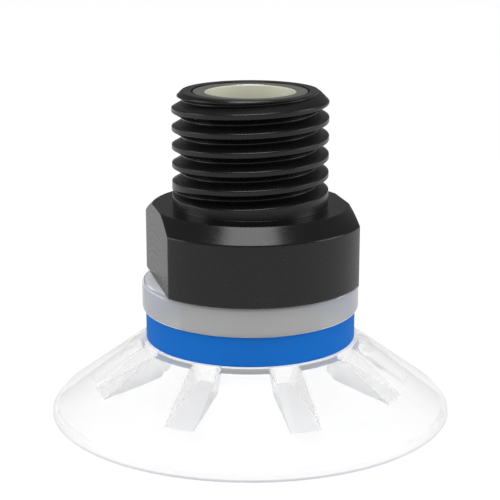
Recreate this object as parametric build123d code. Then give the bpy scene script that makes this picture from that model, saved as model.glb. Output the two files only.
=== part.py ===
from build123d import *
import math
import os

# Flat vacuum cup: a clear silicone cup moulded round a black aluminium fitting with a male thread.
# Millimetres. The origin is the centre of the rim plane, +Z runs up the fitting's axis,
# and the two wrench flats face along X. Angles run anticlockwise from +X, seen from above.

# Fitting: collar
total_height = 20.4
collar_radius = 7.1
collar_base_z = 8.54
collar_height = 4.75
collar_chamfer = 0.94
across_flats = 12.0

# Fitting: thread
thread_radius = 4.865
thread_pitch = 1.141
thread_depth = 0.66
root_flat = 0.08
flank_angle = 30.0
first_groove_rise = 1.44
runout_start_angle = -140.0
runout_end_angle = -205.0
top_chamfer = 0.61

# Fitting: stem held in the silicone
stem_radius = 3.1
barb_radius = 4.2
barb_top_drop = 2.75
barb_height = 0.4
barb_taper_height = 0.55
barb_tip_radius = 3.4
passage_radius = 2.4

# Insert bush pressed into the top of the fitting
insert_radius = 3.635
insert_bore_radius = 2.795
insert_length = 5.6
insert_recess = 0.05
insert_edge_chamfer = 0.06
insert_mouth_chamfer = 0.1

# Silicone cup: flange, neck and ledge
flange_radius = 6.85
flange_height = 1.94
flange_top_chamfer = 0.25
flange_bottom_chamfer = 0.2
neck_radius = 5.9
ring_radius = 6.63
ring_height = 1.84
ring_edge_chamfer = 0.06
ledge_radius = 6.9
ledge_chamfer = 0.06
ledge_side_drop = 0.36
ledge_side_draft = 0.06

# Silicone cup: skirt
rim_radius = 12.7
rim_edge_height = 0.17
rim_face_width = 0.25
skirt_shoulder_radius = 7.8
skirt_shoulder_z = 4.0
skirt_lip_setback = 0.4
skirt_lip_z = 0.66
skirt_round = 2.0
lip_round = 0.5
cavity_top_z = 4.3
cavity_top_radius = 6.2
cavity_bend_radius = 9.65
cavity_bend_z = 1.42

# Eight cleats under the skirt
cleat_count = 8
cleat_width = 1.9
cleat_draft = 8.0
cleat_corner = 0.35
cleat_inner_radius = 5.6
cleat_inner_depth = 1.7
cleat_root = 0.2
cleat_clocking = 5.9

# Heights and radii that follow from the sizes above
collar_top_z = collar_base_z + collar_height
flange_bottom_z = collar_base_z - flange_height
ledge_top_z = flange_bottom_z - ring_height
groove_zero_z = collar_top_z + first_groove_rise
root_radius = thread_radius - thread_depth
flank_slope = math.tan(math.radians(flank_angle))
barb_top_z = collar_base_z - barb_top_drop
barb_base_z = barb_top_z - barb_height
stem_tip_z = barb_base_z - barb_taper_height
insert_top_z = total_height - insert_recess
insert_base_z = insert_top_z - insert_length
cavity_fall = (cavity_top_z - cavity_bend_z) / (cavity_bend_radius - cavity_top_radius)
cleat_top_z = cavity_top_z + cleat_root
cleat_foot_z = cavity_top_z - cleat_inner_depth
cleat_narrowing = math.tan(math.radians(cleat_draft))


def turned(points):
    """Solid turned about the Z axis from corners of radius, height and, if wanted, a round."""
    places = [(point[0], 0.0, point[1]) for point in points]
    section = make_face(Polyline(places, close=True))
    for point in points:
        if len(point) > 2:
            corner = section.vertices().sort_by_distance((point[0], 0.0, point[1]))[0]
            section = fillet(corner, point[2])
    return revolve(section, Axis.Z, 360)


def groove_face(angle, depth):
    """Cross-section of the thread's groove where it passes an angle, cut to the given depth."""
    height = groove_zero_z + thread_pitch * angle / 360.0
    inner = thread_radius - depth
    outer = thread_radius + 0.25 * thread_depth
    half_root = root_flat / 2.0
    half_mouth = half_root + flank_slope * (outer - inner)
    corners = [
        (inner, 0.0, height - half_root),
        (outer, 0.0, height - half_mouth),
        (outer, 0.0, height + half_mouth),
        (inner, 0.0, height + half_root),
    ]
    return make_face(Polyline(corners, close=True)).rotate(Axis.Z, angle)


def groove_path(start_angle, end_angle):
    """Right-hand helix along the groove's root between two angles."""
    rise = thread_pitch * (end_angle - start_angle) / 360.0
    base = groove_zero_z + thread_pitch * start_angle / 360.0
    path = Helix(thread_pitch, rise, root_radius, center=(0, 0, base))
    return path.rotate(Axis.Z, start_angle)


def thread_groove():
    """Groove of full depth out through the top, and its run-out at the lower end."""
    rise_to_top = total_height + 0.2 * thread_pitch - groove_zero_z
    end_angle = 360.0 * rise_to_top / thread_pitch
    main_path = groove_path(runout_start_angle, end_angle)
    main = sweep(groove_face(runout_start_angle, thread_depth), path=main_path, is_frenet=True)
    fade = groove_face(runout_end_angle, -0.08 * thread_depth)
    full = groove_face(runout_start_angle, thread_depth)
    fade_path = groove_path(runout_end_angle, runout_start_angle)
    runout = sweep([fade, full], path=fade_path, multisection=True, is_frenet=True)
    return main, runout


def threaded_shank():
    """Shank above the collar: grooves cut in a square-ended cylinder, then its top chamfered."""
    shank = turned([
        (0.0, collar_top_z),
        (thread_radius, collar_top_z),
        (thread_radius, total_height),
        (0.0, total_height),
    ])
    main, runout = thread_groove()
    shank -= main
    shank -= runout
    chamfer_form = turned([
        (0.0, collar_top_z),
        (collar_radius, collar_top_z),
        (collar_radius, total_height - (collar_radius - thread_radius) - top_chamfer),
        (thread_radius - top_chamfer, total_height),
        (0.0, total_height),
    ])
    return shank & chamfer_form


def air_path():
    """Space taken out of the fitting's middle: the passage and, above it, the bush's seat."""
    return turned([
        (0.0, stem_tip_z),
        (passage_radius, stem_tip_z),
        (passage_radius, insert_base_z),
        (insert_radius, insert_base_z),
        (insert_radius, total_height),
        (0.0, total_height),
    ])


def fitting():
    """Turned fitting: threaded shank, collar with two flats, and the barbed stem in the silicone."""
    body = turned([
        (0.0, stem_tip_z),
        (barb_tip_radius, stem_tip_z),
        (barb_radius, barb_base_z),
        (barb_radius, barb_top_z),
        (stem_radius, barb_top_z),
        (stem_radius, collar_base_z),
        (collar_radius, collar_base_z),
        (collar_radius, collar_top_z - collar_chamfer),
        (collar_radius - collar_chamfer, collar_top_z),
        (0.0, collar_top_z),
    ])
    waste = collar_radius
    for side in (-1, 1):
        middle = (side * (across_flats + waste) / 2.0, 0, collar_base_z + collar_height / 2.0)
        body -= Location(middle) * Box(waste, 2 * waste, collar_height)
    body += threaded_shank()
    return body - air_path()


def insert_bush():
    """Plain bush pressed into the seat at the top of the fitting."""
    return turned([
        (insert_bore_radius, insert_base_z),
        (insert_radius, insert_base_z),
        (insert_radius, insert_top_z - insert_edge_chamfer),
        (insert_radius - insert_edge_chamfer, insert_top_z),
        (insert_bore_radius + insert_mouth_chamfer, insert_top_z),
        (insert_bore_radius, insert_top_z - insert_mouth_chamfer),
    ])


def cleat():
    """One wedge under the skirt on the +X side: bevelled inner end, drafted sides, sloping foot."""
    length = cavity_bend_radius - cleat_inner_radius
    root_z = cavity_bend_z + cavity_fall * length
    half_top = cleat_width / 2.0 + cleat_root * cleat_narrowing
    half_foot = cleat_width / 2.0 - (root_z - cleat_foot_z) * cleat_narrowing
    section = make_face(Polyline([
        (cleat_inner_radius, half_top, root_z + cleat_root),
        (cleat_inner_radius, half_foot, cleat_foot_z),
        (cleat_inner_radius, -half_foot, cleat_foot_z),
        (cleat_inner_radius, -half_top, root_z + cleat_root),
    ], close=True))
    block = extrude(section, amount=math.hypot(length, cavity_fall * length), dir=(1, 0, -cavity_fall))
    middle = (cleat_inner_radius + length / 2.0, 0, cavity_bend_z)
    plan = Location(middle) * Rectangle(length, 2.0 * half_top)
    inner_corners = plan.vertices().group_by(Axis.X)[0]
    plan = chamfer(inner_corners, cleat_corner)
    column = extrude(plan, amount=cleat_top_z - cavity_bend_z, dir=(0, 0, 1))
    side = Polyline([
        (cleat_inner_radius, 0, cleat_top_z),
        (cleat_inner_radius, 0, cleat_foot_z),
        (cavity_bend_radius, 0, cavity_bend_z),
        (cavity_bend_radius, 0, cavity_bend_z + cleat_root),
        (cavity_top_radius, 0, cleat_top_z),
    ], close=True)
    wedge = extrude(make_face(side), amount=cleat_width, both=True)
    return block & column & wedge


def silicone_cup():
    """Moulded cup: flange under the collar, neck, ledge, conical skirt and the cleats inside it."""
    body = turned([
        (stem_radius, collar_base_z),
        (flange_radius - flange_top_chamfer, collar_base_z),
        (flange_radius, collar_base_z - flange_top_chamfer),
        (flange_radius, flange_bottom_z + flange_bottom_chamfer),
        (flange_radius - flange_bottom_chamfer, flange_bottom_z),
        (neck_radius, flange_bottom_z),
        (neck_radius, ledge_top_z),
        (ledge_radius - ledge_chamfer, ledge_top_z),
        (ledge_radius, ledge_top_z - ledge_chamfer),
        (ledge_radius + ledge_side_draft, ledge_top_z - ledge_side_drop),
        (skirt_shoulder_radius, skirt_shoulder_z, skirt_round),
        (rim_radius - skirt_lip_setback, skirt_lip_z, lip_round),
        (rim_radius, rim_edge_height),
        (rim_radius, 0.0),
        (rim_radius - rim_face_width, 0.0),
        (cavity_bend_radius, cavity_bend_z),
        (cavity_top_radius, cavity_top_z),
        (passage_radius, cavity_top_z),
        (passage_radius, stem_tip_z),
        (barb_tip_radius, stem_tip_z),
        (barb_radius, barb_base_z),
        (barb_radius, barb_top_z),
        (stem_radius, barb_top_z),
    ])
    one = cleat()
    for index in range(cleat_count):
        body += one.rotate(Axis.Z, cleat_clocking + index * 360.0 / cleat_count)
    return body


def retaining_ring():
    """Blue ring in the groove between the flange and the ledge."""
    return turned([
        (neck_radius, ledge_top_z),
        (ring_radius - ring_edge_chamfer, ledge_top_z),
        (ring_radius, ledge_top_z + ring_edge_chamfer),
        (ring_radius, flange_bottom_z - ring_edge_chamfer),
        (ring_radius - ring_edge_chamfer, flange_bottom_z),
        (neck_radius, flange_bottom_z),
    ])


os.makedirs("parts", exist_ok=True)
export_step(fitting(), "parts/threaded_fitting.step")
export_step(insert_bush(), "parts/insert_bush.step")
export_step(silicone_cup(), "parts/silicone_cup.step")
export_step(retaining_ring(), "parts/retaining_ring.step")
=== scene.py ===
import bpy
import bmesh
import math
import numpy as np
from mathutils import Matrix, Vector


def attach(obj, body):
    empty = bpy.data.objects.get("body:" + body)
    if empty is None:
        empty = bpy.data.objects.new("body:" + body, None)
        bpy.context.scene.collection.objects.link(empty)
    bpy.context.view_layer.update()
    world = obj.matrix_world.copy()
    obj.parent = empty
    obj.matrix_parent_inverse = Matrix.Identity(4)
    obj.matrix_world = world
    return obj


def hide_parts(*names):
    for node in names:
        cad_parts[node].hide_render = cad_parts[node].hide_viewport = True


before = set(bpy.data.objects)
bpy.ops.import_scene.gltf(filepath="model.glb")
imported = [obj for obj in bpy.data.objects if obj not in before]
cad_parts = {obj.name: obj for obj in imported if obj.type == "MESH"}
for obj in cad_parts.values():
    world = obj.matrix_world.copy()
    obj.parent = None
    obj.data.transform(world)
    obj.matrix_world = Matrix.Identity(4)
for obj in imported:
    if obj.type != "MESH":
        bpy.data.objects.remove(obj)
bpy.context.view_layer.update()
millimetre = 0.001  # sizes below are millimetres: heights over the rim plane and radii from the axis
print("frame loaded:", sorted(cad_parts))


def makeMesh(name, vertices, faces, finishes=None):
    # a mesh in metres from points in millimetres: doubles merged, thin leftovers removed, faces outward
    # finishes gives each face the number of its material
    mesh = bpy.data.meshes.new(name)
    mesh.from_pydata((vertices * millimetre).tolist(), [], faces.tolist())
    if finishes is not None:
        mesh.polygons.foreach_set("material_index", finishes.astype(np.int32))
    work = bmesh.new()
    work.from_mesh(mesh)
    bmesh.ops.remove_doubles(work, verts=work.verts, dist=0.0002 * millimetre)
    bmesh.ops.dissolve_degenerate(work, edges=work.edges, dist=0.0001 * millimetre)
    bmesh.ops.recalc_face_normals(work, faces=work.faces)
    work.to_mesh(mesh)
    work.free()
    mesh.polygons.foreach_set("use_smooth", np.ones(len(mesh.polygons), bool))
    mesh.update()
    piece = bpy.data.objects.new(name, mesh)
    bpy.context.scene.collection.objects.link(piece)
    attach(piece, "root")
    return piece


def gridFaces(rows, columns, start=0, closedRows=False, closedColumns=True):
    # four-cornered faces between neighbouring rows and columns, wrapping where the grid is closed
    index = np.arange(rows * columns).reshape(rows, columns) + start
    lower = index if closedRows else index[:-1]
    upper = np.roll(index, -1, axis=0) if closedRows else index[1:]
    lowerNext = np.roll(lower, -1, axis=1)
    upperNext = np.roll(upper, -1, axis=1)
    if not closedColumns:
        lower, upper = lower[:, :-1], upper[:, :-1]
        lowerNext, upperNext = lowerNext[:, :-1], upperNext[:, :-1]
    return np.stack([lower, lowerNext, upperNext, upper], axis=-1).reshape(-1, 4)


def roundedProfile(corners, arcSteps=5, longest=0.6, closed=True):
    # corner points (radius, height, round) joined by straight runs, each rounded corner a tangent arc
    # whose centre lies on the bisector, at the round over the sine of half the corner's angle
    points = np.array([corner[:2] for corner in corners], float)
    rounds = [corner[2] if len(corner) > 2 else 0.0 for corner in corners]
    line = []
    count = len(points)
    for i in range(count):
        here = points[i]
        if rounds[i] == 0.0 or (not closed and i in (0, count - 1)):
            line.append(here)
            continue
        before = points[i - 1] - here
        after = points[(i + 1) % count] - here
        before /= np.linalg.norm(before)
        after /= np.linalg.norm(after)
        half = math.acos(np.clip(before @ after, -1.0, 1.0)) / 2.0
        reach = rounds[i] / math.tan(half)
        centre = here + (before + after) / np.linalg.norm(before + after) * rounds[i] / math.sin(half)
        first = here + before * reach - centre
        last = here + after * reach - centre
        a = math.atan2(first[1], first[0])
        turn = (math.atan2(last[1], last[0]) - a + math.pi) % (2.0 * math.pi) - math.pi
        for t in np.linspace(0.0, 1.0, arcSteps + 1):
            line.append(centre + rounds[i] * np.array([math.cos(a + turn * t), math.sin(a + turn * t)]))
    line = np.array(line)
    result = []
    for i in range(len(line) if closed else len(line) - 1):
        here, there = line[i], line[(i + 1) % len(line)]
        steps = max(1, int(np.ceil(np.linalg.norm(there - here) / longest)))
        result.append(here + (there - here) * np.arange(steps)[:, None] / steps)
    if not closed:
        result.append(line[-1:])
    return np.vstack(result)


def turned(profile, angles):
    # grid of points: each profile point (radius, height) carried round the axis through the angles
    radius = profile[:, 0][:, None]
    height = np.repeat(profile[:, 1][:, None], len(angles), axis=1)
    return np.stack([radius * np.cos(angles), radius * np.sin(angles), height], axis=-1)


def softMin(a, b, size):
    # the smaller of two values, less a parabola that rounds the corner between them over the given size
    near = np.maximum(size - np.abs(a - b), 0.0) / size
    return np.minimum(a, b) - near * near * size / 4.0


fitting = {
    "topZ": 20.4, "topRingRadius": 4.255, "seatRadius": 3.635, "seatBaseZ": 14.75, "seatMouth": 0.05,
    "crestRadius": 4.865, "crestRound": 0.035, "pitch": 1.141, "grooveDepth": 0.66, "rootFlat": 0.08,
    "rootRound": 0.05, "topRound": 0.04, "flankSlope": 0.577, "grooveAtZero": 14.73,
    "runoutStart": -140.0, "runoutEnd": -205.0, "neckJoinZ": 13.7, "neckFillet": 0.02,
    "collarTopZ": 13.29, "collarBaseZ": 8.54, "collarRadius": 7.1, "chamfer": 0.94, "acrossFlats": 12.0,
    "flatRound": 0.03, "edgeBreak": 0.045, "passageRadius": 2.4, "stemRadius": 3.1,
    "barbRadius": 4.2, "barbTopZ": 5.79, "barbBaseZ": 5.39, "barbRound": 0.05,
    "tipRadius": 3.4, "tipZ": 4.84, "tipRound": 0.08, "columns": 240, "rowsPerPitch": 36,
}


def shankRadius(angle, height):
    # radius of the threaded shank: crest cylinder, less the groove, inside the top chamfer cone
    # the groove's depth at a height is its half mouth, less the way from its middle, over the flank's slope
    # angle runs on over the turns, so that the groove's centre is at grooveAtZero + pitch * angle / 360
    f = fitting
    turns = (height - f["grooveAtZero"]) / f["pitch"] - angle / 360.0
    whole = np.round(turns)
    offset = np.abs(turns - whole) * f["pitch"]
    grooveAngle = angle + whole * 360.0
    fade = np.clip((grooveAngle - f["runoutEnd"]) / (f["runoutStart"] - f["runoutEnd"]), 0.0, 1.0)
    halfMouth = f["rootFlat"] / 2.0 + f["flankSlope"] * f["grooveDepth"]
    depth = (halfMouth - offset) / f["flankSlope"]
    depth = softMin(depth, np.full_like(depth, f["grooveDepth"]), f["rootRound"])
    depth = depth - f["grooveDepth"] * 1.06 * (1.0 - fade)  # the run-out rises evenly, just past the crest
    depth = -softMin(-depth, np.zeros_like(depth), f["crestRound"] * 2.0)
    depth = np.where(grooveAngle < f["runoutEnd"], 0.0, depth)
    cone = f["topRingRadius"] + f["topZ"] - height
    return softMin(f["crestRadius"] - depth, cone, f["topRound"])


def threadedFitting():
    # one closed skin: helical rows round the shank, then circles over the top, down the air path, over
    # the stem, out under the collar, up its side and chamfer, and in to the shank's foot
    f = fitting
    columns = f["columns"]
    # rows across one pitch lie closer together at the crest's edges and at the root
    halfMouth = f["rootFlat"] / 2.0 + f["flankSlope"] * f["grooveDepth"]
    samples = 4000
    crowding = 5.0
    even = (np.arange(samples + 1) / samples - 0.5) * f["pitch"]
    weight = np.ones_like(even)
    for bend in (halfMouth, f["rootFlat"] / 2.0):
        weight += crowding * np.exp(-((np.abs(even) - bend) / f["crestRound"]) ** 2)
    share = np.cumsum(weight) / weight.sum()
    across = np.interp(np.arange(f["rowsPerPitch"]) / f["rowsPerPitch"], share, even)
    topJoinZ = f["topZ"] - f["topRound"]
    low = math.floor((f["neckJoinZ"] - f["grooveAtZero"]) / f["pitch"]) - 1
    high = math.ceil((topJoinZ - f["grooveAtZero"]) / f["pitch"]) + 1
    # helical rows: the same rows shifted by a pitch for each turn, so that the seam closes by itself
    steps = np.arange(columns + 1) * 360.0 / columns
    levels = np.concatenate([f["grooveAtZero"] + k * f["pitch"] + across for k in range(low, high + 1)])
    angle = np.repeat(steps[None, :], len(levels), axis=0)
    height = levels[:, None] + f["pitch"] * angle / 360.0
    inside = np.clip(height, f["neckJoinZ"], topJoinZ)
    radius = shankRadius(angle, inside)
    rad = np.radians(angle)
    shank = np.stack([radius * np.cos(rad), radius * np.sin(rad), inside], axis=-1)
    faces = gridFaces(len(levels), columns + 1, closedColumns=False)
    flatTop = inside >= topJoinZ
    flatBase = inside <= f["neckJoinZ"]
    cornersTop = flatTop.reshape(-1)[faces].all(axis=1)
    cornersBase = flatBase.reshape(-1)[faces].all(axis=1)
    faces = faces[~(cornersTop | cornersBase)]
    parts = [shank.reshape(-1, 3)]
    allFaces = [faces]
    start = len(parts[0])

    # top ring: from the shank's upper edge over a small round, then down the seat and the air path to
    # the stem's tip, and up over the barb to the collar
    angles = np.radians(steps[:-1])
    edge = shankRadius(steps[:-1], np.full(columns, topJoinZ))
    rows = [np.stack([edge * np.cos(angles), edge * np.sin(angles), np.full(columns, topJoinZ)], -1)]
    for inset, drop in ((0.014, 0.022), (0.034, 0.008), (0.062, 0.0), (0.2, 0.0)):
        r = np.minimum(edge, f["topRingRadius"] + f["topRound"]) - inset
        height = np.full(columns, f["topZ"] - drop)
        rows.append(np.stack([r * np.cos(angles), r * np.sin(angles), height], -1))
    inner = roundedProfile([
        (f["seatRadius"] + 0.3, f["topZ"]),
        (f["seatRadius"], f["topZ"], f["seatMouth"]),
        (f["seatRadius"], f["seatBaseZ"]),
        (f["passageRadius"], f["seatBaseZ"]),
        (f["passageRadius"], f["tipZ"]),
        (f["tipRadius"], f["tipZ"], f["tipRound"]),
        (f["barbRadius"], f["barbBaseZ"], f["barbRound"]),
        (f["barbRadius"], f["barbTopZ"], f["barbRound"]),
        (f["stemRadius"], f["barbTopZ"], f["barbRound"]),
        (f["stemRadius"], f["collarBaseZ"] - 0.1),
        (f["stemRadius"], f["collarBaseZ"]),
        (f["stemRadius"] + 0.2, f["collarBaseZ"]),
    ], arcSteps=4, longest=1.5, closed=False)
    rows.extend(turned(inner, angles))

    # collar from its base up: each row's angles crowd at the edges of the two flats
    half = f["acrossFlats"] / 2.0
    quarter = columns // 4
    flatShare = quarter * 2 // 5
    crowd = 3
    beside = 0.004  # radians

    def collarRow(radius, height, inset=0.0):
        # the circle of that radius with two sides cut off flat, drawn in by the inset: its reach at an
        # angle is the smaller of the radius and the half width over the angle's cosine
        border = math.acos(half / radius)
        first = np.linspace(0.0, border - beside, flatShare - crowd, endpoint=False)
        middle = np.linspace(border - beside, border + beside, 2 * crowd, endpoint=False)
        last = np.linspace(border + beside, math.pi / 2.0, quarter - flatShare - crowd, endpoint=False)
        side = np.concatenate([first, middle, last])
        mirrored = np.concatenate([side, math.pi - np.append(side[1:], math.pi / 2.0)[::-1]])
        theta = np.concatenate([mirrored, mirrored + math.pi])
        flat = half / np.maximum(np.abs(np.cos(theta)), 1e-6)
        reach = softMin(np.full_like(theta, radius), flat, f["flatRound"]) - inset
        return np.stack([reach * np.cos(theta), reach * np.sin(theta), np.full_like(theta, height)], -1)

    e = f["edgeBreak"]
    topRadius = f["collarRadius"] - f["chamfer"]
    chamferZ = f["collarTopZ"] - f["chamfer"]
    baseOuter = collarRow(f["collarRadius"], f["collarBaseZ"], e)
    baseInner = rows[-1]
    for t in (0.3, 0.6, 0.85, 0.97):
        rows.append(baseInner + (baseOuter - baseInner) * t)
    rows.append(baseOuter)
    rows.append(collarRow(f["collarRadius"], f["collarBaseZ"] + 0.29 * e, 0.29 * e))
    rows.append(collarRow(f["collarRadius"], f["collarBaseZ"] + e))
    rows.append(collarRow(f["collarRadius"], f["collarBaseZ"] + 4.0 * e))
    for z in np.linspace(f["collarBaseZ"] + 0.7, chamferZ - 0.7, 5):
        rows.append(collarRow(f["collarRadius"], z))
    rows.append(collarRow(f["collarRadius"], chamferZ - 4.0 * e))
    rows.append(collarRow(f["collarRadius"], chamferZ - e))
    rows.append(collarRow(f["collarRadius"] - 0.12 * e, chamferZ - 0.12 * e))
    for t in np.linspace(0.05, 0.95, 19):
        rows.append(collarRow(f["collarRadius"] - t * f["chamfer"], chamferZ + t * f["chamfer"]))
    rows.append(collarRow(topRadius + 0.3 * e, f["collarTopZ"] - 0.5 * e, 0.1 * e))
    rows.append(collarRow(topRadius, f["collarTopZ"] - 0.1 * e, 0.4 * e))
    topOuter = collarRow(topRadius, f["collarTopZ"], e)
    rows.append(topOuter)
    root = roundedProfile([
        (f["crestRadius"] + 0.3, f["collarTopZ"]),
        (f["crestRadius"], f["collarTopZ"], f["neckFillet"]),
        (f["crestRadius"], f["neckJoinZ"]),
    ], arcSteps=5, closed=False)
    rootRows = turned(root, angles)
    for t in (0.06, 0.3, 0.6, 0.85):
        rows.append(topOuter + (rootRows[0] - topOuter) * t)
    rows.extend(rootRows)
    body = np.array(rows)
    allFaces.append(gridFaces(len(rows), columns, start))
    parts.append(body.reshape(-1, 3))
    piece = makeMesh("threadedFittingTurned", np.vstack(parts), np.vstack(allFaces))
    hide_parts("threaded_fitting")
    piece.data.materials.append(anodisedAluminiumTurned())
    print("fitting:", len(piece.data.polygons), "faces")


bush = {
    "outerRadius": fitting["seatRadius"], "boreRadius": 2.795, "topZ": 20.35, "baseZ": fitting["seatBaseZ"],
    "mouthRound": 0.12, "edgeRound": 0.1, "columns": 200,
}


def insertBush():
    # a plain tube: its section's four corners, the upper two rounded, turned round the axis
    b = bush
    angles = np.arange(b["columns"]) * 2.0 * math.pi / b["columns"]
    profile = roundedProfile([
        (b["boreRadius"], b["baseZ"]),
        (b["outerRadius"], b["baseZ"]),
        (b["outerRadius"], b["topZ"], b["edgeRound"]),
        (b["boreRadius"], b["topZ"], b["mouthRound"]),
    ], longest=0.5)
    points = turned(profile, angles)
    faces = gridFaces(len(profile), b["columns"], closedRows=True)
    # finish 1 is on the bore's wall, 2 on the outside up to the ring face, where a near-black painted shadow
    # makes the dark line in the joint, and 0 on the rest
    here = profile[:, 0]
    there = np.roll(here, -1)
    inBore = np.maximum(here, there) < b["boreRadius"] + 0.4 * b["mouthRound"]
    outside = np.minimum(here, there) > b["outerRadius"] - 1.01 * b["edgeRound"]
    finishes = np.repeat(np.where(inBore, 1, np.where(outside, 2, 0)), b["columns"])
    piece = makeMesh("insertBushPressed", points.reshape(-1, 3), faces, finishes)
    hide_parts("insert_bush")
    piece.data.materials.append(nickelPlateTurned())
    piece.data.materials.append(nickelPlateMatt())
    # finish 2 is near-black: a painted shadow that shows as a dark line in the joint round the bush
    piece.data.materials.append(paintedJointShadowMatt())
    print("bush:", len(piece.data.polygons), "faces")


cup = {
    "flangeRadius": 6.85, "flangeTopZ": fitting["collarBaseZ"], "flangeBaseZ": 6.6, "flangeRound": 0.3,
    "neckRadius": 5.9, "ledgeRadius": 6.9, "ledgeTopZ": 4.76, "ledgeRound": 0.1, "ledgeSide": 0.36,
    "ledgeDraft": 0.06, "ledgeFootRound": 0.12, "shoulderRadius": 7.8, "shoulderZ": 4.0,
    "shoulderRound": 2.0, "lipSetback": 0.4, "lipZ": 0.66, "lipRound": 0.5,
    "rimRadius": 12.7, "rimEdge": 0.17, "rimFace": 0.25, "rimRound": 0.05, "bendRadius": 9.65,
    "bendZ": 1.42, "ceilingRadius": 6.2, "ceilingZ": 4.3, "ceilingRound": 0.25,
    "holeRadius": fitting["passageRadius"], "lipRows": 10,
    "sink": 0.005,  # the moulding reaches this far into what it touches, so that no two skins coincide
}
ring = {
    "innerRadius": cup["neckRadius"], "outerRadius": 6.63, "baseZ": cup["ledgeTopZ"],
    "topZ": cup["flangeBaseZ"], "edgeRound": 0.06, "columns": 240,
}


def retainingRing():
    # a plain ring that fills the groove: its section's four corners, the outer two rounded, turned
    r = ring
    angles = np.arange(r["columns"]) * 2.0 * math.pi / r["columns"]
    profile = roundedProfile([
        (r["innerRadius"], r["baseZ"]),
        (r["outerRadius"], r["baseZ"], r["edgeRound"]),
        (r["outerRadius"], r["topZ"], r["edgeRound"]),
        (r["innerRadius"], r["topZ"]),
    ], longest=0.3)
    points = turned(profile, angles)
    faces = gridFaces(len(profile), r["columns"], closedRows=True)
    piece = makeMesh("retainingRingMoulded", points.reshape(-1, 3), faces)
    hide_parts("retaining_ring")
    piece.data.materials.append(bluePlasticMoulded())
    print("ring:", len(piece.data.polygons), "faces")


cleats = {
    "count": 8, "clocking": 5.9, "width": 1.9, "cornerLength": 0.5, "cornerWidth": 0.27,
    "innerRadius": 5.6, "footZ": 2.6, "draft": 0.1405, "edgeRound": 0.03, "rootRound": 0.02,
    "footPoints": 5, "roundPoints": 4, "gapPoints": 7, "cornerRows": 9, "rows": 22,
}


def cavityFall():
    # slope of the cavity's cone: its drop over its run from the ceiling's edge to the bend
    return (cup["ceilingZ"] - cup["bendZ"]) / (cup["bendRadius"] - cup["ceilingRadius"])


def cleatSection(radius, rootZ):
    # one half of a sector at a radius: angles from the cleat's middle out to halfway between two cleats,
    # and the height at each, going over the foot, its rounded edge, the drafted side and the root fillet
    # an angle is the arc sine of the way across over the radius
    c = cleats
    outside = math.pi / c["count"]
    into = 1.0 - min(max(radius - c["innerRadius"], 0.0) / c["cornerLength"], 1.0)
    cut = c["cornerWidth"] * (1.0 - math.sqrt(1.0 - into ** 2))
    coneZ = cup["bendZ"] + cavityFall() * (cup["bendRadius"] - radius)
    rootHalf = c["width"] / 2.0 - cut - c["draft"] * max(coneZ - rootZ, 0.0)
    reach = (radius - c["innerRadius"]) / (cup["bendRadius"] - c["innerRadius"])
    footZ = c["footZ"] + (cup["bendZ"] - c["footZ"]) * min(max(reach, 0.0), 1.0)
    tall = max(rootZ - footZ, 0.0) if 0.0 <= reach <= 1.0 else 0.0
    footHalf = rootHalf - c["draft"] * tall
    edge = min(c["edgeRound"], 0.45 * tall + 1e-4)
    fillet = min(c["rootRound"], 0.45 * tall + 1e-4)
    turn = np.linspace(0.0, math.pi / 2.0, c["roundPoints"])
    foot = np.linspace(0.0, footHalf - edge, c["footPoints"], endpoint=False)
    roundX = footHalf - edge + edge * np.sin(turn)
    roundUp = edge - edge * np.cos(turn)
    filletX = rootHalf + fillet - fillet * np.cos(turn)
    filletUp = tall - fillet + fillet * np.sin(turn)
    x = np.concatenate([foot, roundX, filletX])
    up = np.concatenate([np.zeros(c["footPoints"]), roundUp, filletUp])
    theta = np.arcsin(np.clip(x / radius, -1.0, 1.0))
    rest = np.linspace(theta[-1], outside, c["gapPoints"] + 1)[1:]
    z = np.concatenate([rootZ - tall + np.clip(up, 0.0, tall), np.full(c["gapPoints"], rootZ)])
    return np.concatenate([theta, rest]), z


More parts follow.
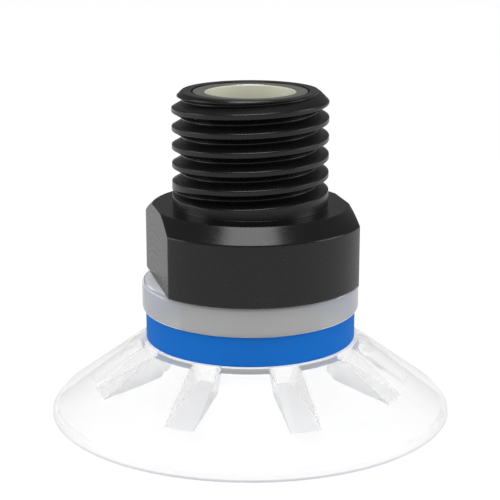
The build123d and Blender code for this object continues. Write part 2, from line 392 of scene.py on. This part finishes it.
def siliconeCup():
    # one closed skin of rows round the axis: down the outside, in under the skirt and over its wedges
    # to the ceiling, and up through the hole and the socket that the barbed stem fills
    c = cleats
    sink = cup["sink"]
    outer = roundedProfile([
        (fitting["stemRadius"] - sink, cup["flangeTopZ"] + sink),
        (cup["flangeRadius"], cup["flangeTopZ"] + sink, cup["flangeRound"]),
        (cup["flangeRadius"], cup["flangeBaseZ"] - sink, cup["flangeRound"]),
        (cup["neckRadius"] + sink, cup["flangeBaseZ"] - sink),
        (cup["neckRadius"] + sink, cup["ledgeTopZ"] + sink),
        (cup["ledgeRadius"], cup["ledgeTopZ"] + sink, cup["ledgeRound"]),
        (cup["ledgeRadius"] + cup["ledgeDraft"], cup["ledgeTopZ"] - cup["ledgeSide"], cup["ledgeFootRound"]),
        (cup["shoulderRadius"], cup["shoulderZ"], cup["shoulderRound"]),
        (cup["rimRadius"] - cup["lipSetback"], cup["lipZ"], cup["lipRound"]),
        (cup["rimRadius"], cup["rimEdge"], cup["rimRound"]),
        (cup["rimRadius"], 0.0, cup["rimRound"]),
        (cup["rimRadius"] - cup["rimFace"], 0.0),
    ], longest=0.35, closed=False)
    bendEnd = cup["rimRadius"] - cup["rimFace"]
    socket = roundedProfile([
        (cup["holeRadius"], cup["ceilingZ"]),
        (cup["holeRadius"], fitting["tipZ"] + sink),
        (fitting["tipRadius"] - sink, fitting["tipZ"] + sink),
        (fitting["barbRadius"] - sink, fitting["barbBaseZ"]),
        (fitting["barbRadius"] - sink, fitting["barbTopZ"] - sink),
        (fitting["stemRadius"] - sink, fitting["barbTopZ"] - sink),
        (fitting["stemRadius"] - sink, cup["flangeTopZ"]),
    ], longest=0.5, closed=False)

    def rootHeight(radius):
        # underside of the skirt without its cleats: flat ceiling, a soft bend, a cone, a steeper lip
        cone = cup["ceilingZ"] - cavityFall() * (radius - cup["ceilingRadius"])
        lip = cup["bendZ"] * (bendEnd - radius) / (bendEnd - cup["bendRadius"])
        height = cone if radius < cup["bendRadius"] else lip
        return float(softMin(np.array(cup["ceilingZ"]), np.array(height), cup["ceilingRound"]))

    def fullRow(theta, z, radius):
        # the half sector mirrored and repeated for every cleat
        theta = np.concatenate([-theta[:0:-1], theta[:-1]])
        z = np.concatenate([z[:0:-1], z[:-1]])
        turns = np.arange(c["count"]) * 2.0 * math.pi / c["count"] + math.radians(c["clocking"])
        theta = (turns[:, None] + theta[None, :]).reshape(-1)
        z = np.tile(z, c["count"])
        return np.stack([radius * np.cos(theta), radius * np.sin(theta), z], -1)

    endTheta, _ = cleatSection(cup["bendRadius"], rootHeight(cup["bendRadius"]))
    startTheta, _ = cleatSection(c["innerRadius"], rootHeight(c["innerRadius"]))
    plain = np.zeros_like(endTheta)
    rows = []
    for radius, z in outer:
        rows.append(fullRow(endTheta, plain + z, radius))
    for radius in np.linspace(bendEnd - 0.05, cup["bendRadius"] + 0.05, cup["lipRows"]):
        rows.append(fullRow(endTheta, plain + rootHeight(radius), radius))
    # rows crowd towards the cleats' inner end, where their corners are cut
    steps = 1.0 - np.cos(np.linspace(0.0, math.pi / 2.0, c["cornerRows"]))
    near = c["innerRadius"] + c["cornerLength"] * steps
    far = np.linspace(near[-1], cup["bendRadius"], c["rows"])[1:]
    firstWedgeRow = len(rows)
    for radius in np.concatenate([near, far])[::-1]:
        theta, z = cleatSection(radius, rootHeight(radius))
        rows.append(fullRow(theta, z, radius))
    lastWedgeRow = len(rows) - 1
    # inner end of the cleats: up the end wall to the ceiling, with a small round at the foot
    theta, z = cleatSection(c["innerRadius"], rootHeight(c["innerRadius"]))
    ceiling = rootHeight(c["innerRadius"])
    endWall = ((0.012, 0.03), (0.02, 0.08), (0.03, 0.35), (0.045, 0.8), (0.09, 0.95), (0.16, 1.0))
    for inset, lift in endWall:
        rows.append(fullRow(theta, z + (ceiling - z) * lift, c["innerRadius"] - inset))
    for radius in (5.0, 4.2, 3.4, 2.7, 2.45):
        blend = (c["innerRadius"] - radius) / (c["innerRadius"] - cup["holeRadius"])
        mixed = startTheta + (endTheta - startTheta) * min(blend, 1.0)
        rows.append(fullRow(mixed, plain + cup["ceilingZ"], radius))
    for radius, z in socket[:-1]:
        rows.append(fullRow(endTheta, plain + z, radius))
    points = np.array(rows)
    faces = gridFaces(points.shape[0], points.shape[1], closedRows=True)
    # finish 1 is on the thick flange and ledge, 2 on the faces bonded to the fitting and ring and on the
    # rim's edge, 3 on the feet and sides of the wedges, and 0 on the rest
    wedgeFinish = 3
    radius = np.hypot(points[:, 0, 0], points[:, 0, 1])
    height = points[:, 0, 2]
    middleRadius = (radius + np.roll(radius, -1)) / 2.0
    middleHeight = (height + np.roll(height, -1)) / 2.0
    thick = middleRadius < cup["ledgeRadius"] + cup["ledgeDraft"]
    thick &= middleHeight > cup["ledgeTopZ"] - cup["ledgeSide"]
    bonded = (middleRadius < ring["outerRadius"]) & (middleHeight > cup["ledgeTopZ"])
    edge = middleRadius > cup["rimRadius"] - 0.5 * cup["rimFace"]
    rowFinishes = np.where(bonded | edge, 2, np.where(thick, 1, 0))
    finishes = np.repeat(rowFinishes[:, None], points.shape[1], axis=1)
    half = len(endTheta) - 1
    sideColumn = c["footPoints"] + c["roundPoints"] - 1
    across = np.arange(points.shape[1]) % (2 * half)
    wedge = (across >= half - 1 - sideColumn) & (across <= half + sideColumn)
    finishes[firstWedgeRow:lastWedgeRow, wedge] = wedgeFinish
    piece = makeMesh("siliconeCupMoulded", points.reshape(-1, 3), faces, finishes.reshape(-1))
    # the wedges' feet and sides are flat, so they aren't shaded as if they were curved
    finishOf = np.empty(len(piece.data.polygons), np.int32)
    piece.data.polygons.foreach_get("material_index", finishOf)
    piece.data.polygons.foreach_set("use_smooth", finishOf != wedgeFinish)
    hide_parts("silicone_cup")
    piece.data.materials.append(clearSiliconePolished())
    piece.data.materials.append(clearSiliconeThick())
    piece.data.materials.append(clearSiliconeFrosted())
    piece.data.materials.append(clearSiliconeMatt())
    print("cup:", len(piece.data.polygons), "faces")


def linearColour(hexCode, alpha=1.0):
    # sRGB hex code to linear values
    values = [int(hexCode[i:i + 2], 16) / 255.0 for i in (1, 3, 5)]
    return tuple(v / 12.92 if v <= 0.04045 else ((v + 0.055) / 1.055) ** 2.4 for v in values) + (alpha,)


def addNode(tree, kind, settings=None, inputs=None, links=None):
    # one node with its settings, its input values and its links from other nodes' outputs
    node = tree.nodes.new(kind)
    for key, value in (settings or {}).items():
        setattr(node, key, value)
    for key, value in (inputs or {}).items():
        node.inputs[key].default_value = value
    for key, source in (links or {}).items():
        tree.links.new(source, node.inputs[key])
    return node


def newMaterial(name):
    # an empty material with its node tree
    material = bpy.data.materials.new(name)
    material.use_nodes = True
    material.node_tree.nodes.clear()
    return material, material.node_tree


def turningMarks(tree, place, perMillimetre):
    # rings round the axis: one-dimensional noise over radius plus height, as a lathe tool leaves them
    split = addNode(tree, "ShaderNodeSeparateXYZ", links={"Vector": place.outputs["Object"]})
    flat = addNode(tree, "ShaderNodeCombineXYZ", links={"X": split.outputs["X"], "Y": split.outputs["Y"]})
    radius = addNode(tree, "ShaderNodeVectorMath", {"operation": "LENGTH"}, links={0: flat.outputs["Vector"]})
    along = addNode(tree, "ShaderNodeMath", {"operation": "ADD"},
                    links={0: radius.outputs["Value"], 1: split.outputs["Z"]})
    return addNode(tree, "ShaderNodeTexNoise", {"noise_dimensions": "1D"},
                   {"Scale": perMillimetre / millimetre, "Detail": 3.0, "Roughness": 0.6},
                   {"W": along.outputs["Value"]})


def anodisedAluminiumTurned():
    # black anodised aluminium, lathe turned: a dark satin skin with fine rings and a grainy sheen
    look = {"colour": "#0c0c0d", "roughness": 0.26, "marksPerMm": 6.0, "grainPerMm": 9.0}
    material, tree = newMaterial("anodisedAluminiumTurned")
    place = addNode(tree, "ShaderNodeTexCoord")
    marks = turningMarks(tree, place, look["marksPerMm"])
    grain = addNode(tree, "ShaderNodeTexNoise", {}, {"Scale": look["grainPerMm"] / millimetre, "Detail": 2.0},
                    {"Vector": place.outputs["Object"]})
    mixed = addNode(tree, "ShaderNodeMath", {"operation": "ADD"},
                    links={0: marks.outputs["Fac"], 1: grain.outputs["Fac"]})
    rough = addNode(tree, "ShaderNodeMapRange", {}, {"From Min": 0.6, "From Max": 1.4,
                    "To Min": look["roughness"] - 0.06, "To Max": look["roughness"] + 0.08},
                    {"Value": mixed.outputs["Value"]})
    bump = addNode(tree, "ShaderNodeBump", {}, {"Strength": 0.25, "Distance": 0.004 * millimetre},
                   {"Height": mixed.outputs["Value"]})
    shader = addNode(tree, "ShaderNodeBsdfPrincipled", {},
                     {"Base Color": linearColour(look["colour"]), "Metallic": 0.0, "IOR": 1.5},
                     {"Roughness": rough.outputs["Result"], "Normal": bump.outputs["Normal"]})
    addNode(tree, "ShaderNodeOutputMaterial", links={"Surface": shader.outputs["BSDF"]})
    return material


def nickelPlateTurned():
    # nickel plating on a turned face: grey metal with soft rings
    look = {"colour": "#c2c2bb", "roughness": 0.38, "marksPerMm": 5.0}
    material, tree = newMaterial("nickelPlateTurned")
    place = addNode(tree, "ShaderNodeTexCoord")
    marks = turningMarks(tree, place, look["marksPerMm"])
    rough = addNode(tree, "ShaderNodeMapRange", {}, {"To Min": look["roughness"] - 0.08,
                    "To Max": look["roughness"] + 0.1}, {"Value": marks.outputs["Fac"]})
    bump = addNode(tree, "ShaderNodeBump", {}, {"Strength": 0.2, "Distance": 0.003 * millimetre},
                   {"Height": marks.outputs["Fac"]})
    shader = addNode(tree, "ShaderNodeBsdfPrincipled", {},
                     {"Base Color": linearColour(look["colour"]), "Metallic": 1.0},
                     {"Roughness": rough.outputs["Result"], "Normal": bump.outputs["Normal"]})
    addNode(tree, "ShaderNodeOutputMaterial", links={"Surface": shader.outputs["BSDF"]})
    return material


def nickelPlateMatt():
    # matt nickel plating in the bore: a pale warm grey that scatters the light falling in
    look = {"colour": "#dcdccb", "roughness": 0.5, "cloudPerMm": 0.7}
    material, tree = newMaterial("nickelPlateMatt")
    place = addNode(tree, "ShaderNodeTexCoord")
    cloud = addNode(tree, "ShaderNodeTexNoise", {}, {"Scale": look["cloudPerMm"] / millimetre, "Detail": 3.0},
                    {"Vector": place.outputs["Object"]})
    rough = addNode(tree, "ShaderNodeMapRange", {}, {"To Min": look["roughness"] - 0.1,
                    "To Max": look["roughness"] + 0.1}, {"Value": cloud.outputs["Fac"]})
    shader = addNode(tree, "ShaderNodeBsdfPrincipled", {},
                     {"Base Color": linearColour(look["colour"]), "Metallic": 0.1},
                     {"Roughness": rough.outputs["Result"]})
    addNode(tree, "ShaderNodeOutputMaterial", links={"Surface": shader.outputs["BSDF"]})
    return material


def paintedJointShadowMatt():
    # near-black matt on the bush's outside: a painted shadow that shows as a dark line in the joint round it,
    # slightly lumpy
    look = {"colour": "#050505", "roughness": 0.7, "gloss": 0.1, "lumpPerMm": 4.0}
    material, tree = newMaterial("paintedJointShadowMatt")
    place = addNode(tree, "ShaderNodeTexCoord")
    lump = addNode(tree, "ShaderNodeTexNoise", {}, {"Scale": look["lumpPerMm"] / millimetre, "Detail": 2.0},
                   {"Vector": place.outputs["Object"]})
    rough = addNode(tree, "ShaderNodeMapRange", {}, {"To Min": look["roughness"] - 0.1,
                    "To Max": look["roughness"] + 0.1}, {"Value": lump.outputs["Fac"]})
    shader = addNode(tree, "ShaderNodeBsdfPrincipled", {},
                     {"Base Color": linearColour(look["colour"]), "IOR": 1.5,
                      "Specular IOR Level": look["gloss"]},
                     {"Roughness": rough.outputs["Result"]})
    addNode(tree, "ShaderNodeOutputMaterial", links={"Surface": shader.outputs["BSDF"]})
    return material


def bluePlasticMoulded():
    # coloured plastic, injection moulded: even blue with a low satin gloss and a faint pebble
    look = {"colour": "#1c70cc", "roughness": 0.5, "gloss": 0.03, "pebblePerMm": 3.0}
    material, tree = newMaterial("bluePlasticMoulded")
    place = addNode(tree, "ShaderNodeTexCoord")
    pebble = addNode(tree, "ShaderNodeTexNoise", {},
                     {"Scale": look["pebblePerMm"] / millimetre, "Detail": 2.0},
                     {"Vector": place.outputs["Object"]})
    bump = addNode(tree, "ShaderNodeBump", {}, {"Strength": 0.2, "Distance": 0.004 * millimetre},
                   {"Height": pebble.outputs["Fac"]})
    rough = addNode(tree, "ShaderNodeMapRange", {}, {"To Min": look["roughness"] - 0.06,
                    "To Max": look["roughness"] + 0.06}, {"Value": pebble.outputs["Fac"]})
    shader = addNode(tree, "ShaderNodeBsdfPrincipled", {},
                     {"Base Color": linearColour(look["colour"]), "IOR": 1.5,
                      "Specular IOR Level": look["gloss"]},
                     {"Roughness": rough.outputs["Result"], "Normal": bump.outputs["Normal"]})
    addNode(tree, "ShaderNodeOutputMaterial", links={"Surface": shader.outputs["BSDF"]})
    return material


def siliconeRubber(name, look):
    # silicone bends light as glass does, and the share that doesn't pass is scattered by its milkiness
    material, tree = newMaterial(name)
    place = addNode(tree, "ShaderNodeTexCoord")
    swirl = addNode(tree, "ShaderNodeTexNoise", {}, {"Scale": look["swirlPerMm"] / millimetre, "Detail": 3.0},
                    {"Vector": place.outputs["Object"]})
    rough = addNode(tree, "ShaderNodeMapRange", {}, {"To Min": look["roughness"] - 0.02,
                    "To Max": look["roughness"] + 0.03}, {"Value": swirl.outputs["Fac"]})
    shader = addNode(tree, "ShaderNodeBsdfPrincipled", {},
                     {"Base Color": linearColour(look["colour"]), "IOR": 1.41,
                      "Specular Tint": linearColour(look["mirrorTint"]),
                      "Transmission Weight": look["throughShare"]},
                     {"Roughness": rough.outputs["Result"]})
    addNode(tree, "ShaderNodeOutputMaterial", links={"Surface": shader.outputs["BSDF"]})
    return material


def clearSiliconePolished():
    # clear silicone rubber from a polished mould: smooth and see-through, with a weak sheen
    return siliconeRubber("clearSiliconePolished", {
        "colour": "#ffffff", "mirrorTint": "#7c7c7c", "throughShare": 1.0, "roughness": 0.03,
        "swirlPerMm": 0.6})


def clearSiliconeThick():
    # the same rubber in the thick flange and ledge, where its milkiness adds up to a translucent grey
    return siliconeRubber("clearSiliconeThick", {
        "colour": "#ffffff", "mirrorTint": "#7c7c7c", "throughShare": 0.59, "roughness": 0.05,
        "swirlPerMm": 0.6})


def clearSiliconeMatt():
    # the same rubber from a spark-eroded part of the mould: see-through, but light is spread as it passes
    return siliconeRubber("clearSiliconeMatt", {
        "colour": "#ffffff", "mirrorTint": "#7c7c7c", "throughShare": 1.0, "roughness": 0.9,
        "swirlPerMm": 0.6})


def clearSiliconeFrosted():
    # the same rubber where it is bonded or trimmed: pale and hardly see-through
    return siliconeRubber("clearSiliconeFrosted", {
        "colour": "#f4f4f6", "mirrorTint": "#7c7c7c", "throughShare": 0.2, "roughness": 0.3,
        "swirlPerMm": 0.6})


# studio, in metres and watts: a pale floor, a surround that is bright below and dim above the horizon,
# and soft lamps
studio = {
    "floorSize": 6.0, "floorDrop": 0.00002, "floorColour": "#e6e6e6", "shadowShare": 0.12,
    "floorLight": 0.7,  # the light that falls on the open floor, where 1 would show white as white
    "floorGloss": 0.72, "skyGloss": 0.18, "worldLevel": 0.62, "lightTurns": 24,
    "topLampPower": 0.13, "topLampSize": 0.1, "topLampHeight": 0.16, "topLampBack": 0.04,
    "sideLampPower": 0.05, "sideLampSize": 0.09, "sideLampHeight": 0.06, "sideLampAway": 0.15,
    "sideLampBack": 0.01, "lampAim": 0.01,
}


def seenWhite(tree, plain, white, mirror):
    # camera and see-through rays meet plain white, mirror rays the level that metal shows, others the rest
    path = addNode(tree, "ShaderNodeLightPath")
    seen = addNode(tree, "ShaderNodeMath", {"operation": "MAXIMUM"},
                   links={0: path.outputs["Is Camera Ray"], 1: path.outputs["Is Transmission Ray"]})
    first = addNode(tree, "ShaderNodeMixShader",
                    links={0: path.outputs["Is Glossy Ray"], 1: plain, 2: mirror})
    return addNode(tree, "ShaderNodeMixShader",
                   links={0: seen.outputs["Value"], 1: first.outputs["Shader"], 2: white})


def makeFloor():
    # a square sheet just under the rim: white to the camera, with a share of matt white for the shadow
    half = studio["floorSize"] / 2.0
    z = -studio["floorDrop"]
    mesh = bpy.data.meshes.new("studioFloor")
    corners = [(-half, -half, z), (half, -half, z), (half, half, z), (-half, half, z)]
    mesh.from_pydata(corners, [], [(0, 1, 2, 3)])
    floor = bpy.data.objects.new("studioFloor", mesh)
    bpy.context.scene.collection.objects.link(floor)
    material, tree = newMaterial("matWhitePaper")
    share = studio["shadowShare"]
    matt = addNode(tree, "ShaderNodeBsdfDiffuse", {}, {"Color": linearColour(studio["floorColour"])})
    shaded = addNode(tree, "ShaderNodeBsdfDiffuse", {}, {"Color": (share, share, share, 1.0)})
    glow = addNode(tree, "ShaderNodeEmission", {},
                   {"Color": (1, 1, 1, 1), "Strength": 1.0 - studio["floorLight"] * share})
    mirror = addNode(tree, "ShaderNodeEmission", {},
                     {"Color": (1, 1, 1, 1), "Strength": studio["floorGloss"]})
    white = addNode(tree, "ShaderNodeAddShader",
                    links={0: shaded.outputs["BSDF"], 1: glow.outputs["Emission"]})
    mixed = seenWhite(tree, matt.outputs["BSDF"], white.outputs["Shader"], mirror.outputs["Emission"])
    addNode(tree, "ShaderNodeOutputMaterial", links={"Surface": mixed.outputs["Shader"]})
    mesh.materials.append(material)
    print("floor made")


def makeWorld():
    # even light from all round: one level to light by, white to look at, and a dim sky in mirrors
    world = bpy.data.worlds.new("paleStudio")
    bpy.context.scene.world = world
    world.use_nodes = True
    tree = world.node_tree
    tree.nodes.clear()
    levels = [addNode(tree, "ShaderNodeBackground", {}, {"Color": (1, 1, 1, 1), "Strength": level})
              for level in (studio["worldLevel"], 1.0, studio["skyGloss"])]
    mixed = seenWhite(tree, *[level.outputs["Background"] for level in levels])
    addNode(tree, "ShaderNodeOutputWorld", links={"Surface": mixed.outputs["Shader"]})
    print("world made")


def makeLamp(name, place, size, power):
    # a square softbox that faces a point on the axis
    lamp = bpy.data.lights.new(name, "AREA")
    lamp.shape = "SQUARE"
    lamp.size = size
    lamp.energy = power
    holder = bpy.data.objects.new(name, lamp)
    holder.location = place
    heading = Vector((0.0, 0.0, studio["lampAim"])) - Vector(place)
    holder.rotation_euler = heading.to_track_quat("-Z", "Y").to_euler()
    bpy.context.scene.collection.objects.link(holder)


def makeLamps():
    # places are worked out across and along the camera's heading, so that they keep to its left and right
    ahead = np.array([-view["x"], -view["y"]]) / math.hypot(view["x"], view["y"])
    right = np.array([ahead[1], -ahead[0]])
    top = -studio["topLampBack"] * ahead
    place = (top[0], top[1], studio["topLampHeight"])
    makeLamp("topSoftbox", place, studio["topLampSize"], studio["topLampPower"])
    for name, side in (("leftSoftbox", -1.0), ("rightSoftbox", 1.0)):
        aside = side * studio["sideLampAway"] * right - studio["sideLampBack"] * ahead
        place = (aside[0], aside[1], studio["sideLampHeight"])
        makeLamp(name, place, studio["sideLampSize"], studio["sideLampPower"])
    print("lamps made")


# camera: place in millimetres from the rim's centre, aim and lens as the photograph was taken
view = {"x": -21.11, "y": -86.82, "z": 34.04, "pitchDown": 14.907, "lens": 105.52, "shiftX": -0.00074}


def makeCamera():
    # the heading is from the camera's place towards the axis
    data = bpy.data.cameras.new("photoCamera")
    data.sensor_width = 36.0
    data.lens = view["lens"]
    data.shift_x = view["shiftX"]
    data.clip_start = 0.001
    data.clip_end = 20.0
    camera = bpy.data.objects.new("photoCamera", data)
    camera.location = (view["x"] * millimetre, view["y"] * millimetre, view["z"] * millimetre)
    heading = math.atan2(-view["x"], -view["y"])
    camera.rotation_euler = (math.radians(90.0 - view["pitchDown"]), 0.0, -heading)
    bpy.context.scene.collection.objects.link(camera)
    bpy.context.scene.camera = camera
    print("camera made")


makeCamera()
threadedFitting()
insertBush()
retainingRing()
siliconeCup()
makeFloor()
makeWorld()
makeLamps()
bpy.context.scene.view_settings.view_transform = "Standard"
# light turns many times inside the clear rubber, and dark patches show where it is cut short
for kind in ("max", "glossy", "transmission", "diffuse"):
    setattr(bpy.context.scene.cycles, kind + "_bounces", studio["lightTurns"])
